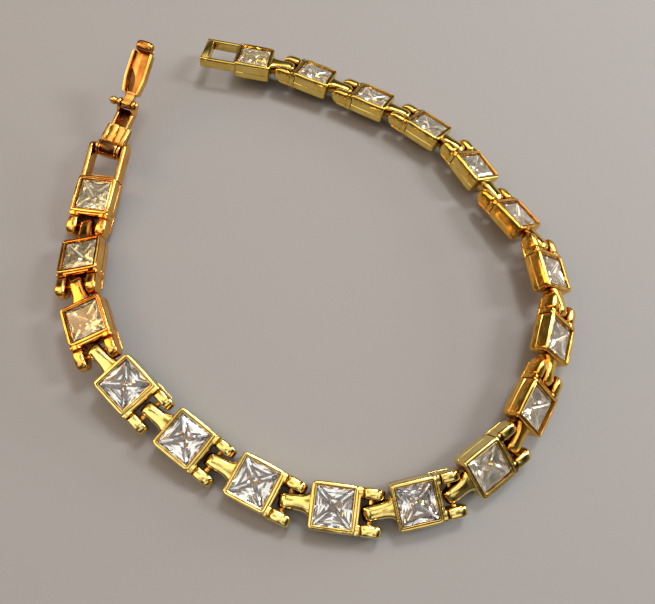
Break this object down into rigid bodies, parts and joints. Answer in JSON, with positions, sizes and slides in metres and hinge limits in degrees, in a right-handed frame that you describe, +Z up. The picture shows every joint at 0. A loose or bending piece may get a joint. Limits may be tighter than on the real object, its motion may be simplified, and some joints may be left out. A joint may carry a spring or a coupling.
{
  "type": "tennis bracelet",
  "caption": "Flexible bracelet of square settings with square-cut stones, pinned fork and tongue links, ending in a fold-over clasp and an open catch frame.",
  "frame": {"origin": "centre of the plan bounding box, at the height of the surface that the bracelet lies on", "axes": "+Z up out of the surface, +X to the right and +Y away from the viewer as the bracelet lies in the picture"},
  "size_m": [0.0658, 0.0656, 0.0096],
  "materials": {
    "gold": "polished yellow gold plate with light wear",
    "stone": "polished clear square-cut stone over a closed metal back"
  },
  "bodies": {
    "chain": {"link_01": "gold", "link_02": "gold", "link_03": "gold", "link_04": "gold", "link_05": "gold", "link_06": "gold", "link_07": "gold", "link_08": "gold", "link_09": "gold", "link_10": "gold", "link_11": "gold", "link_12": "gold", "link_13": "gold", "link_14": "gold", "link_15": "gold", "link_16": "gold", "link_17": "gold", "link_18": "gold", "stone_01": "stone", "stone_02": "stone", "stone_03": "stone", "stone_04": "stone", "stone_05": "stone", "stone_06": "stone", "stone_07": "stone", "stone_08": "stone", "stone_09": "stone", "stone_10": "stone", "stone_11": "stone", "stone_12": "stone", "stone_13": "stone", "stone_14": "stone", "stone_15": "stone", "stone_16": "stone", "stone_17": "stone", "stone_18": "stone", "pin_01": "gold", "pin_02": "gold", "pin_03": "gold", "pin_04": "gold", "pin_05": "gold", "pin_06": "gold", "pin_07": "gold", "pin_08": "gold", "pin_09": "gold", "pin_10": "gold", "pin_11": "gold", "pin_12": "gold", "pin_13": "gold", "pin_14": "gold", "pin_15": "gold", "pin_16": "gold", "pin_17": "gold", "clasp_pin": "gold"},
    "clasp_base": {"clasp_base": "gold", "lever_pin": "gold"},
    "clasp_lever": {"clasp_lever": "gold"}
  },
  "joints": [
    {"name": "clasp_hinge", "type": "hinge", "parent": "chain", "child": "clasp_base", "pos_m": [-0.03016, 0.01019, 0.0035], "axis": [-0.9903, 0.0224, -0.1374], "range_deg": [-100, 50]},
    {"name": "lever_hinge", "type": "hinge", "parent": "clasp_base", "child": "clasp_lever", "pos_m": [-0.02918, 0.0165, 0.00544], "axis": [-0.9892, 0.1361, 0.054], "range_deg": [-158, 36]}
  ]
}
